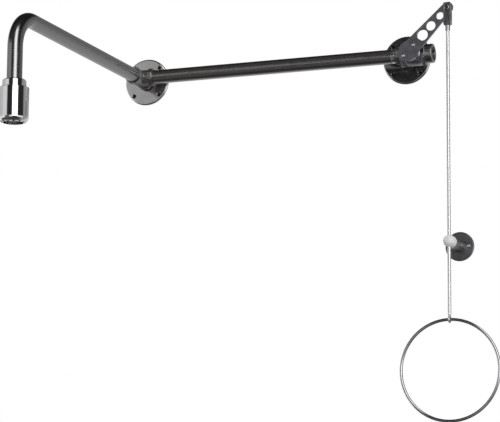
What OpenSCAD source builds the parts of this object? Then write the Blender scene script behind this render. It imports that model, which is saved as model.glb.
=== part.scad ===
// Wall-mounted emergency safety shower with a pull rod and ring.
// Frame: the origin is the centre of the back face of the wall flange beside the valve.
// The wall is the plane y = 0, the object lies at negative y, x runs to the inlet, z is up.

/* [Pipework] */
// Distance between the two wall flanges, centre to centre
flange_span = 670; // [420:5:900]
// Distance from the wall to the axis of the cross pipe
pipe_standoff = 50; // [50:1:80]
// Outer diameter of the one-inch pipe
pipe_od = 33.7; // [30:0.1:34]
// Wall thickness of the pipe
pipe_wall = 2.6; // [2:0.1:3.5]
// Reach of the shower arm, from the cross pipe's axis to the head's axis
arm_reach = 648; // [350:1:900]
// Radius of the arm's bend, on its centre line
bend_r = 76; // [60:1:120]
// Straight pipe between the bend and the head's collar
drop_len = 73; // [40:1:150]
// How far a pipe end goes into a fitting
engagement = 15; // [10:1:18]
// Start of the thread run-out groove beside the support bracket, before the flange's axis
groove_x = 12.7; // [10:0.1:15]
// Depth of the thread run-out groove
groove_depth = 1.2; // [0.5:0.1:1.5]
// Length of the polished band before the groove
band_len = 7.5; // [4:0.5:20]

/* [Wall flanges] */
// Diameter of a wall flange
flange_od = 115; // [105:1:140]
// Thickness of a wall flange
flange_t = 8; // [6:0.5:9]
// Bevel on the flange's front edge
flange_bevel = 2.5; // [1:0.5:4]
// Circle that the flange's four screw holes lie on
flange_pcd = 94; // [88:1:96]
// Diameter of a flange screw hole
flange_hole_d = 9; // [6:0.5:10]
// Width of the countersink around a flange screw hole
flange_sink = 1.2; // [0.5:0.1:2]

/* [Fittings] */
// Wall of a fitting at its octagonal bands, from the pipe to a flat
band_wall = 3.65; // [3:0.05:6]
// Length of an octagonal band
band_w = 10; // [7:0.5:10]
// Distance from the tee's centre to each of its end faces
tee_reach = 38; // [34:0.5:38]
// Wall of a fitting between its bands
tee_wall = 2.15; // [1.8:0.05:2.9]
// Left face of the support bracket's sleeve, before the flange's axis
bracket_left = 8.6; // [6:0.1:9]
// Right face of the support bracket's sleeve, past the flange's axis
bracket_right = 3.2; // [2:0.1:3.4]
// Depth of the support bracket's socket for the stub
bracket_socket = 9; // [6:0.5:12]

/* [Valve] */
// Diameter of the valve ball
ball_d = 30; // [25:0.5:36]
// Diameter of the hole through the valve ball
ball_bore = 18; // [12:0.5:19]
// Depth of the valve's thread for the cross pipe
valve_socket = 9; // [8:0.5:14]
// Body left between that thread and the valve's seat
valve_web = 3.2; // [2:0.1:8]
// Wall of the valve at its hexagons, from the pipe to a flat
valve_wall = 8.15; // [7.5:0.05:9]
// How far the body over the ball stands out past a hexagon's flat
valve_swell = 2; // [0.5:0.1:2.2]
// Outer diameter of the inlet end
inlet_od = 45; // [40:0.5:48]
// Diameter of the inlet's thread
inlet_d = 30.3; // [26:0.1:34]
// Depth of the inlet's thread
inlet_depth = 16; // [10:0.5:16]
// Diameter of the valve stem
stem_d = 12; // [10:0.5:13]
// Side of the square mounting pad
pad_side = 36; // [34:0.5:40]
// Thickness of the square mounting pad
pad_t = 5; // [4:0.5:6]

/* [Lever] */
// Length of the lever, from the stem's axis to the fork's pin
lever_len = 133; // [120:1:180]
// Angle of the closed lever above the horizontal
lever_angle = 45; // [40:1:50]
// Thickness of the lever plate
lever_t = 6; // [4:0.5:8]
// Radius of the lever's head
lever_head_r = 24; // [23:0.5:28]
// Half width of the lever where it leaves the head
lever_neck = 20.5; // [18:0.5:22]
// Radius of the lever's tip
lever_tip_r = 13; // [9:0.5:13]
// Places of the three lightening holes along the lever, from the stem's axis
lever_hole_at = [48, 76.5, 107.5];
// Diameters of the three lightening holes
lever_hole_d = [26.5, 23, 18];
// Distance of each lever screw from the stem's axis
lever_screw_at = 17; // [15:0.5:19]
// Thickness of the hub behind the lever plate
hub_t = 6; // [5:0.5:8]

/* [Pull rod and ring] */
// Diameter of the pull rod
rod_d = 8; // [6:0.5:10]
// Width and depth of the square fork
fork_side = 16.5; // [15:0.5:22]
// Height of the fork above its pin
fork_up = 11; // [8:0.5:13]
// Height of the fork below its pin
fork_down = 42; // [38:1:60]
// Depth of the fork's slot below its pin
fork_slot = 30; // [29:0.5:34]
// Diameter of the fork's neck
neck_d = 11; // [10.5:0.5:14]
// Height of the fork's neck
neck_h = 12; // [10:0.5:20]
// Diameter of the fork's pin
pin_d = 8; // [6:0.5:9]
// Height of the ring's top wire below the flange's axis
ring_drop = 629.2; // [560:1:900]
// Radius of the pull ring, at the middle of its wire
ring_r = 114.5; // [80:0.5:150]
// Diameter of the ring's wire
ring_wire = 7; // [5:0.5:9]
// Diameter of the eye's wire
eye_wire = 4.5; // [3.5:0.5:6]

/* [Rod guide] */
// Height of the guide below the flange's axis
guide_drop = 450; // [350:1:500]
// Diameter of the guide's wall plate
plate_od = 68; // [60:1:90]
// Thickness of the guide's wall plate
plate_t = 5; // [4:0.5:8]
// Outer diameter of the guide's arm
arm_od = 28; // [24:0.5:32]
// Wall thickness of the guide's arm
arm_wall = 2; // [1.5:0.1:3]
// Diameter of the guide's ball
guide_ball_d = 27.6; // [24:0.1:29]
// Height of the ball between its flats
guide_ball_h = 24.6; // [22:0.1:25]
// Distance between the guide's two wall screws
guide_screw_span = 44; // [42:1:46]

/* [Shower head] */
// Outer diameter of the head
head_od = 65; // [60:0.5:70]
// Height of the head below its collar
head_len = 77; // [68:0.5:100]
// Wall thickness of the head
head_wall = 4; // [3:0.5:5]
// Radius of the head's lower edge
head_round = 11; // [9:0.5:12]
// Wall of the collar around the pipe
collar_wall = 9.15; // [7.5:0.05:9.5]
// Height of the collar
collar_len = 17; // [16:0.5:30]
// Number of notches around the head's mouth
notch_count = 12; // [8:1:16]

/* [Hidden] */

$fn = 96;

// Clearances, all radial
thread_gap = 0.1;
run_gap = 0.08;
ease = 0.3;
wall_gap = 0.5;

steel = "#8e8e90";
dark_steel = "#6a696b";
bright_steel = "#c9c9cb";
white_plastic = "#d6d6d4";
seal_white = "#ece9e2";
rubber_black = "#2b2b2b";

pipe_r = pipe_od / 2;
pipe_ir = pipe_r - pipe_wall;
socket_r = pipe_r + thread_gap;
band_af = pipe_od + 2 * band_wall;
tee_od = pipe_od + 2 * tee_wall;
valve_af = pipe_od + 2 * valve_wall;
valve_od = valve_af + 2 * valve_swell;
collar_od = pipe_od + 2 * collar_wall;
left_x = -flange_span;
head_y = pipe_standoff + arm_reach;

// Heights at the head, downwards from the pipe's axis
collar_top = -bend_r - drop_len;
collar_bottom = collar_top - collar_len;
head_bottom = collar_bottom - head_len;
head_r = head_od / 2;
head_ir = head_r - head_wall;
collar_bevel = 2;
spigot_r = pipe_r + 5.15;
spigot_h = 9;
head_roof = 12;
seal_t = 2;
regulator_t = 6;
regulator_r = spigot_r - 3;
spray_t = 4;
mouth_r = head_r - head_round;
spray_z = head_bottom + head_round + 1;
clip_t = 1.5;
notch_w = 4.5;
notch_h = 3.5;

// Valve lengths, from the stem's axis along the run
ball_r = ball_d / 2;
bore_r = ball_bore / 2;
seat_near = ball_r - 6;
seat_far = ball_r;
seat_or = ball_r - 0.7;
cavity_r = ball_r + 0.8;
valve_left = bracket_right + ease;
stem_x = valve_left + valve_socket + ease + valve_web + seat_far;
body_right = seat_far + 7;
gasket_t = 1;
cap_spigot_r = cavity_r + 3.2;
cap_hex_left = body_right + gasket_t;
cap_hex_w = 8;
inlet_face = cap_hex_left + cap_hex_w + inlet_depth + 1;
left_hex_w = 11;

// Valve depths, from the wall
ball_front = pipe_standoff + ball_r;
pad_face = ball_front + 12;
pad_back = pad_face - pad_t;
stem_r = stem_d / 2;
stem_collar_r = stem_r + 2;
stem_collar_t = 2.5;
tang_w = 6;
tang_len = 15;
tang_depth = 3.5;
packing_back = ball_front + 6;
packing_r = stem_r + 3;
packing_t = 4;
gland_af = 22;
gland_head = 4.8;
hub_gap = 0.7;
hub_back = pad_face + gland_head + hub_gap;
lever_back = hub_back + hub_t;
lever_standoff = lever_back + lever_t / 2;
stem_end = lever_back - 0.5;
flat_half = stem_r - 1.5;
stop_r = 15.5;
stop_d = 4;
stop_gap = 0.4;
stop_bed = 4;
hub_screw_d = 3.5;
lever_screw_d = 5;
screw_head_d = 9;
screw_head_h = 2.5;
pad_hole_d = 5;
pad_hole_at = 12.7;

// The pin that joins lever and fork
pin_x = stem_x + lever_len * cos(lever_angle);
pin_z = lever_len * sin(lever_angle);
slot_w = lever_t + 2 * 0.25;
fork_bottom = pin_z - fork_down;
neck_bottom = fork_bottom - neck_h;
pin_head_d = 11;
pin_head_h = 2;
clip_gap = 0.3;

// The rod's lower end, its eye and the ring
eye_hole_r = ring_wire / 2 + 1.3;
eye_r = eye_hole_r + eye_wire / 2;
eye_z = -ring_drop + eye_hole_r - ring_wire / 2 - ease;
eye_stud_d = 4.5;
eye_stud_len = 12;
rod_bottom = eye_z + eye_r + eye_wire / 2;
ring_z = -ring_drop - ring_r;

// The guide
guide_z = -guide_drop;
arm_front = lever_standoff - guide_ball_d / 2 - ease;
seat_t = 4;
guide_screw_d = 5;

// Local z points away from the wall, local y points up
module outward(x, z, d) translate([x, -d, z]) rotate([90, 0, 0]) children();

// Local z points along the run towards the inlet
module runward(x) translate([x, -pipe_standoff, 0]) rotate([0, 90, 0]) children();

module tube(r_out, r_in, h) difference() {
    cylinder(r = r_out, h = h);
    translate([0, 0, -1]) cylinder(r = r_in, h = h + 2);
}

// A prism with n flat sides, given across its flats, with two sides facing up and down
module flats(n, af, h) rotate(180 / n) cylinder(r = af / 2 / cos(180 / n), h = h, $fn = n);

// Four places on a circle, at 45 degrees to the axes
module four_around(r) for (a = [45:90:315]) rotate(a) translate([r, 0, 0]) children();

module wall_flange(x) color(steel) outward(x, 0, 0) difference() {
    rotate_extrude() polygon([
        [socket_r, 0], [flange_od / 2, 0], [flange_od / 2, flange_t - flange_bevel],
        [flange_od / 2 - flange_bevel, flange_t], [socket_r, flange_t]
    ]);
    four_around(flange_pcd / 2) translate([0, 0, -1]) cylinder(d = flange_hole_d, h = flange_t + 2);
    four_around(flange_pcd / 2) translate([0, 0, flange_t - flange_sink])
        cylinder(d1 = flange_hole_d, d2 = flange_hole_d + 2 * flange_sink + 0.02, h = flange_sink + 0.01);
}

// The stub behind the tee is closed at the wall, so that the water turns into the arm
module blind_stub_left() {
    stub_end = pipe_standoff - tee_reach + engagement;
    plug_t = 6;
    color(steel) outward(left_x, 0, wall_gap) difference() {
        cylinder(r = pipe_r, h = stub_end - wall_gap - ease);
        translate([0, 0, plug_t]) cylinder(r = pipe_ir, h = stub_end);
    }
}

module tee() color(steel) difference() {
    union() {
        outward(left_x, 0, pipe_standoff - tee_reach) {
            cylinder(d = tee_od, h = 2 * tee_reach);
            flats(8, band_af, band_w);
            translate([0, 0, 2 * tee_reach - band_w]) flats(8, band_af, band_w);
        }
        runward(left_x) cylinder(d = tee_od, h = tee_reach);
        runward(left_x + tee_reach - band_w) flats(8, band_af, band_w);
    }
    outward(left_x, 0, pipe_standoff - tee_reach - 1) cylinder(r = pipe_ir, h = 2 * tee_reach + 2);
    runward(left_x) cylinder(r = pipe_ir, h = tee_reach + 1);
    outward(left_x, 0, pipe_standoff - tee_reach - 1) cylinder(r = socket_r, h = engagement + 1);
    outward(left_x, 0, pipe_standoff + tee_reach - engagement) cylinder(r = socket_r, h = engagement + 1);
    runward(left_x + tee_reach - engagement) cylinder(r = socket_r, h = engagement + 1);
}

// One pipe: straight out from the tee, a quarter bend, and down into the head's collar
module shower_arm() {
    arm_start = pipe_standoff + tee_reach - engagement;
    straight = head_y - bend_r - arm_start;
    arm_end = collar_bottom + 2;
    color(steel) {
        outward(left_x, 0, arm_start) tube(pipe_r, pipe_ir, straight);
        translate([left_x, -head_y + bend_r, -bend_r]) rotate([0, -90, 0]) rotate(-90)
            rotate_extrude(angle = 90) translate([bend_r, 0]) difference() {
                circle(r = pipe_r);
                circle(r = pipe_ir);
            }
        translate([left_x, -head_y, arm_end]) tube(pipe_r, pipe_ir, -bend_r - arm_end);
    }
}

module at_head() translate([left_x, -head_y, 0]) children();

module head_collar() color(bright_steel) at_head() rotate_extrude() polygon([
    [socket_r, collar_top], [collar_od / 2 - collar_bevel, collar_top],
    [collar_od / 2, collar_top - collar_bevel], [collar_od / 2, collar_bottom],
    [spigot_r, collar_bottom], [spigot_r, collar_bottom - spigot_h],
    [pipe_ir, collar_bottom - spigot_h], [pipe_ir, collar_bottom + 2 - ease],
    [socket_r, collar_bottom + 2 - ease]
]);

module head_seal() color(rubber_black) at_head()
    translate([0, 0, collar_bottom - spigot_h - seal_t]) tube(regulator_r, pipe_ir - 2, seal_t);

// The cup: threaded roof, straight wall, round lower edge and a notched mouth
module head_body() color(bright_steel) at_head() difference() {
    rotate_extrude() difference() {
        union() {
            translate([0, head_bottom + head_round]) square([head_r, head_len - head_round - 1]);
            translate([0, head_bottom + head_round]) square([head_r - 1, head_len - head_round]);
            translate([0, head_bottom]) square([mouth_r, head_round + 1]);
            translate([mouth_r, head_bottom + head_round]) circle(r = head_round);
        }
        translate([-head_r, collar_bottom - head_roof]) square([head_r + spigot_r + thread_gap, head_roof + 1]);
        translate([-head_r, spray_z - clip_t - 2])
            square([head_r + head_ir, collar_bottom - head_roof - spray_z + clip_t + 2]);
        translate([-head_r, head_bottom - 1]) square([head_r + mouth_r, head_len]);
    }
    for (i = [0:notch_count - 1]) rotate(i * 360 / notch_count)
        translate([mouth_r - 3, -notch_w / 2, head_bottom - 1]) cube([8, notch_w, notch_h + 1]);
}

module flow_regulator() {
    orifice_r = 4;
    orifice_at = 10;
    color(white_plastic) at_head()
        translate([0, 0, collar_bottom - spigot_h - seal_t - regulator_t]) difference() {
            cylinder(r = regulator_r, h = regulator_t);
            four_around(orifice_at) translate([0, 0, -1]) cylinder(r = orifice_r, h = regulator_t + 2);
        }
}

// The perforated plate spreads the water, and its centre cone throws part of it outwards
module spray_plate() {
    cone_r = 9;
    cone_h = 16;
    color(steel) at_head() difference() {
        union() {
            translate([0, 0, spray_z]) cylinder(r = head_ir - ease, h = spray_t);
            translate([0, 0, spray_z + spray_t]) cylinder(r1 = cone_r, r2 = 1.5, h = cone_h);
        }
        for (ring = [[8, 13], [12, 19]]) for (i = [0:ring[0] - 1])
            rotate(i * 360 / ring[0]) translate([ring[1], 0, spray_z - 1])
                cylinder(d = 3, h = spray_t + 2);
    }
}

module spray_plate_ring() color(steel) at_head()
    translate([0, 0, spray_z - clip_t]) tube(head_ir - ease, head_ir - 3.5, clip_t);

// The pipe passes through the support bracket and screws into the valve
module cross_pipe() {
    start = left_x + tee_reach - engagement;
    end = valve_left + valve_socket;
    groove_end = -bracket_left;
    color(dark_steel) runward(0) rotate_extrude() polygon([
        [pipe_ir, start], [pipe_r, start], [pipe_r, -groove_x - band_len],
        [pipe_r + ease, -groove_x - band_len], [pipe_r + ease, -groove_x],
        [pipe_r - groove_depth, -groove_x], [pipe_r - groove_depth, groove_end - ease],
        [pipe_r, groove_end - ease], [pipe_r, end], [pipe_ir, end]
    ]);
}

// A sleeve on the pipe and a socket towards the wall, cast in one piece
module support_bracket() {
    socket_back = pipe_standoff - tee_reach;
    valve_room = valve_af / 2 / cos(30) + ease;
    color(steel) difference() {
        union() {
            outward(0, 0, socket_back) flats(8, band_af, band_w);
            intersection() {
                outward(0, 0, socket_back) cylinder(d = tee_od, h = tee_reach);
                translate([-tee_od / 2, -pipe_standoff, -tee_od]) cube([tee_od, tee_reach, 2 * tee_od]);
            }
            runward(-bracket_left) flats(8, band_af, bracket_left + bracket_right);
        }
        runward(-tee_od) cylinder(r = socket_r, h = 2 * tee_od);
        runward(-tee_od) cylinder(r = pipe_r + 2 * ease, h = tee_od - bracket_left);
        runward(bracket_right) cylinder(r = valve_room, h = tee_od);
        outward(0, 0, socket_back - 1) cylinder(r = socket_r, h = bracket_socket + 1);
    }
}

// The right stub carries no water, so it is a solid bar
module stub_right() color(steel) outward(0, 0, wall_gap)
    cylinder(r = pipe_r, h = pipe_standoff - tee_reach + bracket_socket - 2 * wall_gap);

// Body of the ball valve, with the boss and square pad for the stem
module valve_body() {
    boss_r = 14;
    left = valve_left - stem_x;
    shoulder = left + left_hex_w;
    color(dark_steel) difference() {
        union() {
            runward(stem_x + left) rotate(30) flats(6, valve_af, left_hex_w);
            runward(stem_x) rotate_extrude() polygon([
                [1, shoulder - 1], [valve_af / 2 - 1, shoulder - 1], [valve_od / 2, shoulder + 4],
                [valve_od / 2, body_right - 6], [valve_af / 2 - 1, body_right], [1, body_right]
            ]);
            outward(stem_x, 0, pipe_standoff) cylinder(r = boss_r, h = pad_back - pipe_standoff + 1);
            outward(stem_x, 0, pad_back) translate([-pad_side / 2, -pad_side / 2, 0])
                cube([pad_side, pad_side, pad_t]);
        }
        runward(stem_x + left - 1) cylinder(r = socket_r, h = valve_socket + ease + 1);
        runward(stem_x + left) cylinder(r = bore_r, h = -left);
        runward(stem_x - seat_far) cylinder(r = seat_or + thread_gap, h = seat_far);
        runward(stem_x - seat_near) cylinder(r = cavity_r, h = seat_near + seat_far);
        runward(stem_x + seat_far) cylinder(r = cap_spigot_r + thread_gap, h = body_right);
        outward(stem_x, 0, pipe_standoff) {
            cylinder(r = stem_collar_r + run_gap, h = ball_r + stem_collar_t + run_gap);
            cylinder(r = stem_r + run_gap, h = pad_face - pipe_standoff);
        }
        outward(stem_x, 0, packing_back) cylinder(r = packing_r + thread_gap, h = pad_face);
        outward(stem_x, 0, pad_back - 1) four_around(pad_hole_at * sqrt(2))
            cylinder(d = pad_hole_d, h = pad_t + 2);
        outward(stem_x, stop_r, pad_face - stop_bed) cylinder(d = stop_d + 2 * thread_gap, h = stop_bed + 1);
    }
}

module valve_end_cap() color(steel) difference() {
    union() {
        runward(stem_x + seat_far) cylinder(r = cap_spigot_r, h = inlet_face - seat_far - 1);
        runward(stem_x + cap_hex_left) rotate(30) flats(6, valve_af, cap_hex_w);
        runward(stem_x + cap_hex_left + cap_hex_w) rotate_extrude() polygon([
            [1, -1], [inlet_od / 2, -1], [inlet_od / 2, inlet_face - cap_hex_left - cap_hex_w - 1.5],
            [inlet_od / 2 - 1.5, inlet_face - cap_hex_left - cap_hex_w], [1, inlet_face - cap_hex_left - cap_hex_w]
        ]);
    }
    runward(stem_x) cylinder(r = bore_r, h = inlet_face);
    runward(stem_x + inlet_face - inlet_depth) cylinder(d = inlet_d, h = inlet_depth + 1);
}

module cap_gasket() color(seal_white) runward(stem_x + body_right)
    tube(valve_af / 2 - 2, cap_spigot_r + 2 * thread_gap, gasket_t);

// A seat ring, hollowed to the ball
module seat(side) color(seal_white) difference() {
    runward(stem_x + (side > 0 ? seat_near : -seat_far)) tube(seat_or, bore_r, seat_far - seat_near);
    translate([stem_x, -pipe_standoff, 0]) sphere(r = ball_r + run_gap);
}

// Closed at rest: the hole runs up and down, across the water's way
module valve_ball() color(bright_steel) difference() {
    translate([stem_x, -pipe_standoff, 0]) sphere(r = ball_r);
    translate([stem_x, -pipe_standoff, -ball_r - 1]) cylinder(r = bore_r, h = 2 * ball_r + 2);
    translate([stem_x - tang_w / 2 - run_gap, -ball_front - 1, -ball_r])
        cube([tang_w + 2 * run_gap, tang_depth + run_gap + 1, 2 * ball_r]);
}

// The tang drives the ball, the collar stays under the body's roof, and flats carry the hub
module valve_stem() color(steel) difference() {
    union() {
        intersection() {
            outward(stem_x, 0, ball_front - tang_depth) cylinder(d = tang_len, h = tang_depth + 0.5);
            translate([stem_x - tang_w / 2, -ball_front - 1, -tang_len])
                cube([tang_w, tang_depth + 2, 2 * tang_len]);
        }
        outward(stem_x, 0, ball_front) cylinder(r = stem_collar_r, h = stem_collar_t);
        outward(stem_x, 0, ball_front) cylinder(r = stem_r, h = stem_end - ball_front);
    }
    for (side = [0, 1]) outward(stem_x, 0, hub_back) rotate(lever_angle) mirror([0, side, 0])
        translate([-stem_d, flat_half, 0]) cube([2 * stem_d, stem_d, hub_t]);
}

module stem_packing() color(seal_white) outward(stem_x, 0, packing_back + thread_gap)
    tube(packing_r, stem_r + run_gap, packing_t);

module gland_nut() color(steel) outward(stem_x, 0, packing_back + thread_gap + packing_t) difference() {
    union() {
        cylinder(r = packing_r, h = pad_face - packing_back - packing_t + 1);
        translate([0, 0, pad_face - packing_back - thread_gap - packing_t]) flats(6, gland_af, gland_head);
    }
    translate([0, 0, -1]) cylinder(r = stem_r + run_gap, h = pad_face);
}

module stop_pin() color(bright_steel) outward(stem_x, stop_r, pad_face - stop_bed)
    cylinder(d = stop_d, h = hub_back + hub_t - 0.5 - pad_face + stop_bed);

// The hub sits on the stem's flats, and its curved slot runs over the stop pin for a quarter turn
module lever_hub() color(dark_steel) outward(stem_x, 0, hub_back) difference() {
    cylinder(r = lever_head_r - 1, h = hub_t);
    intersection() {
        translate([0, 0, -1]) cylinder(r = stem_r + run_gap, h = hub_t + 2);
        rotate(lever_angle) translate([-stem_d, -flat_half - run_gap, -1])
            cube([2 * stem_d, 2 * (flat_half + run_gap), hub_t + 2]);
    }
    translate([0, 0, -1]) rotate(90) rotate_extrude(angle = 90)
        translate([stop_r - stop_d / 2 - stop_gap, 0]) square([stop_d + 2 * stop_gap, hub_t + 2]);
    for (a = [90, 180]) rotate(a) translate([stop_r, 0, -1])
        cylinder(r = stop_d / 2 + stop_gap, h = hub_t + 2);
    for (side = [-1, 1]) rotate(lever_angle) translate([side * lever_screw_at, 0, -1])
        cylinder(d = lever_screw_d + 2 * thread_gap, h = hub_t + 2);
    rotate(lever_angle - 90) translate([0, 0, hub_t / 2]) rotate([0, 90, 0])
        cylinder(d = hub_screw_d + 2 * thread_gap, h = lever_head_r + 1);
}

module hub_set_screw() {
    screw_len = 14;
    color(bright_steel) outward(stem_x, 0, hub_back + hub_t / 2) rotate(lever_angle - 90)
        translate([flat_half + run_gap, 0, 0]) rotate([0, 90, 0]) cylinder(d = hub_screw_d, h = screw_len);
}

module lever_outline() {
    circle(r = lever_head_r);
    polygon([[0, -lever_neck], [lever_len, -lever_tip_r], [lever_len, lever_tip_r], [0, lever_neck]]);
    translate([lever_len, 0]) circle(r = lever_tip_r);
}

module lever_plate() color(dark_steel) outward(stem_x, 0, lever_back) rotate(lever_angle) difference() {
    linear_extrude(lever_t) lever_outline();
    for (i = [0:len(lever_hole_at) - 1]) translate([lever_hole_at[i], 0, -1])
        cylinder(d = lever_hole_d[i], h = lever_t + 2);
    for (side = [-1, 1]) translate([side * lever_screw_at, 0, -1])
        cylinder(d = lever_screw_d + 2 * thread_gap, h = lever_t + 2);
    translate([lever_len, 0, -1]) cylinder(d = pin_d + 2 * run_gap, h = lever_t + 2);
}

module lever_screws() color(bright_steel) outward(stem_x, 0, hub_back + 1) rotate(lever_angle)
    for (side = [-1, 1]) translate([side * lever_screw_at, 0, 0]) {
        cylinder(d = lever_screw_d, h = hub_t - 1 + lever_t + 0.5);
        translate([0, 0, hub_t - 1 + lever_t]) difference() {
            cylinder(d1 = screw_head_d, d2 = screw_head_d - 3, h = screw_head_h);
            translate([0, 0, 1]) flats(6, 3, screw_head_h);
        }
    }

module clevis_fork() {
    foot_bevel = 3;
    half = fork_side / 2;
    color(steel) difference() {
        translate([pin_x, -lever_standoff, 0]) union() {
            intersection() {
                translate([-half, -half, fork_bottom]) cube([fork_side, fork_side, fork_down + fork_up]);
                translate([0, 0, fork_bottom]) rotate_extrude() polygon([
                    [0, 0], [half - 0.5, 0], [half + 3.2, foot_bevel],
                    [half + 3.2, fork_down + fork_up - 1], [half + 2.2, fork_down + fork_up],
                    [0, fork_down + fork_up]
                ]);
            }
            translate([0, 0, neck_bottom]) cylinder(d = neck_d, h = neck_h + 1);
        }
        translate([pin_x - fork_side, -lever_standoff - slot_w / 2, pin_z - fork_slot])
            cube([2 * fork_side, slot_w, fork_slot + fork_up + 1]);
        outward(pin_x, pin_z, lever_standoff - fork_side) cylinder(d = pin_d + 2 * run_gap, h = 2 * fork_side);
        translate([pin_x, -lever_standoff, neck_bottom - 1]) cylinder(d = rod_d + 2 * thread_gap, h = neck_h + 1);
    }
}

module clevis_pin() {
    tail = 4;
    groove = 0.8;
    pin_back = lever_standoff - fork_side / 2 - tail;
    color(bright_steel) outward(pin_x, pin_z, pin_back) rotate_extrude() polygon([
        [0, 0], [pin_d / 2 - 0.5, 0], [pin_d / 2, 0.5], [pin_d / 2, tail - 1.2 - clip_gap],
        [pin_d / 2 - groove, tail - 1.2 - clip_gap], [pin_d / 2 - groove, tail - clip_gap + 0.1],
        [pin_d / 2, tail - clip_gap + 0.1], [pin_d / 2, tail + fork_side],
        [pin_head_d / 2, tail + fork_side], [pin_head_d / 2, tail + fork_side + pin_head_h - 0.6],
        [pin_head_d / 2 - 0.6, tail + fork_side + pin_head_h], [0, tail + fork_side + pin_head_h]
    ]);
}

// Snap ring in the pin's groove, open on one side
module pin_clip() color(steel) outward(pin_x, pin_z, lever_standoff - fork_side / 2 - 1.2 - clip_gap + 0.1)
    difference() {
        tube(pin_d / 2 + 2.2, pin_d / 2 - 0.8 + thread_gap, 1);
        translate([-2, -pin_d - 2, -1]) cube([4, pin_d + 2, 3]);
    }

module pull_rod() color(bright_steel) translate([pin_x, -lever_standoff, 0]) difference() {
    translate([0, 0, rod_bottom]) cylinder(d = rod_d, h = neck_bottom + neck_h - ease - rod_bottom);
    translate([0, 0, rod_bottom - 1]) cylinder(d = eye_stud_d + 2 * thread_gap, h = eye_stud_len + 2);
}

// The eye hangs the ring, and its stud screws up into the rod
module ring_eye() color(bright_steel) translate([pin_x, -lever_standoff, eye_z]) {
    rotate([0, 90, 0]) rotate_extrude() translate([eye_r, 0]) circle(d = eye_wire);
    translate([0, 0, eye_r]) cylinder(d = eye_stud_d, h = rod_bottom - eye_z - eye_r + eye_stud_len);
}

module pull_ring() color(bright_steel) outward(pin_x, ring_z, lever_standoff)
    rotate_extrude() translate([ring_r, 0]) circle(d = ring_wire, $fn = 48);

module guide_plate() {
    bevel = 1.5;
    color(dark_steel) outward(pin_x, guide_z, 0) difference() {
        rotate_extrude() polygon([
            [0, 0], [plate_od / 2, 0], [plate_od / 2, plate_t - bevel],
            [plate_od / 2 - bevel, plate_t], [0, plate_t]
        ]);
        for (side = [-1, 1]) translate([side * guide_screw_span / 2, 0, -1])
            cylinder(d = guide_screw_d + 2 * thread_gap, h = plate_t + 2);
    }
}

module guide_arm() color(dark_steel) outward(pin_x, guide_z, plate_t)
    tube(arm_od / 2, arm_od / 2 - arm_wall, arm_front - seat_t / 2 - plate_t);

// Plug in the arm's front end, with the flat face that the ball rides on
module ball_seat() {
    plug_len = 8;
    color(white_plastic) outward(pin_x, guide_z, arm_front - seat_t / 2 - plug_len) {
        cylinder(r = arm_od / 2 - arm_wall - thread_gap, h = plug_len + seat_t / 2);
        translate([0, 0, plug_len]) cylinder(d = arm_od - 1, h = seat_t / 2);
    }
}

module guide_ball() color(white_plastic) translate([pin_x, -lever_standoff, guide_z]) difference() {
    sphere(d = guide_ball_d);
    for (side = [0, 1]) mirror([0, 0, side]) translate([-guide_ball_d, -guide_ball_d, guide_ball_h / 2])
        cube([2 * guide_ball_d, 2 * guide_ball_d, guide_ball_d]);
    translate([0, 0, -guide_ball_d]) cylinder(d = rod_d + 2 * run_gap, h = 2 * guide_ball_d);
}

module guide_screws() for (side = [-1, 1]) color(bright_steel)
    outward(pin_x + side * guide_screw_span / 2, guide_z, 0.5) {
        cylinder(d = guide_screw_d, h = plate_t);
        translate([0, 0, plate_t - 0.5]) difference() {
            cylinder(d1 = screw_head_d, d2 = screw_head_d - 3, h = screw_head_h);
            translate([0, 0, 1]) flats(6, 3, screw_head_h);
        }
    }

wall_flange(left_x);  // wall_flange_left
blind_stub_left();
tee();
shower_arm();
head_collar();
head_seal();
head_body();
flow_regulator();
spray_plate();
spray_plate_ring();
cross_pipe();
support_bracket();
stub_right();
wall_flange(0);  // wall_flange_right
valve_body();
valve_end_cap();
cap_gasket();
seat(-1);  // seat_outlet
seat(1);  // seat_inlet
valve_ball();
valve_stem();
stem_packing();
gland_nut();
stop_pin();
lever_hub();
hub_set_screw();
lever_plate();
lever_screws();
clevis_fork();
clevis_pin();
pin_clip();
pull_rod();
ring_eye();
pull_ring();
guide_plate();
guide_arm();
ball_seat();
guide_ball();
guide_screws();
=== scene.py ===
"""Wall-mounted emergency safety shower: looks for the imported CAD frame.

Pipework of one-inch stainless tube on two wall flanges, an arm with a shower head, a ball valve with a
lever, and a guided pull rod with a ring. Lengths are metres, and values in millimetres are times MM.
"""
import math

import bmesh
import bpy
import numpy as np
from mathutils import Matrix, Quaternion, Vector


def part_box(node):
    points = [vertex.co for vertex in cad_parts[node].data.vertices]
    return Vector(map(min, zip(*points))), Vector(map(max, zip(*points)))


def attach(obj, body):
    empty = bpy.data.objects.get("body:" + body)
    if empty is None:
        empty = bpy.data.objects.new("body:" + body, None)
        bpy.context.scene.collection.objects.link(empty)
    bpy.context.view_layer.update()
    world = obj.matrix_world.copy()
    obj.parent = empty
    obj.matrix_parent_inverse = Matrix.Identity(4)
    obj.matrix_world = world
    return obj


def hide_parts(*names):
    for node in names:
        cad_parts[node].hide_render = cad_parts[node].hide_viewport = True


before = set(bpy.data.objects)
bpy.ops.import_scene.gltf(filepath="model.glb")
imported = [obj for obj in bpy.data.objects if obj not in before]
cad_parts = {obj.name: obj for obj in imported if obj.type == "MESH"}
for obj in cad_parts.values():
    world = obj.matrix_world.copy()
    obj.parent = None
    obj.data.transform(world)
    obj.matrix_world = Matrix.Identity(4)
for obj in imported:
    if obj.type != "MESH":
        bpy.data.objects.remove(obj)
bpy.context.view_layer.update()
MM = 0.001
scene = bpy.context.scene
scene.view_settings.view_transform = "Standard"

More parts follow.
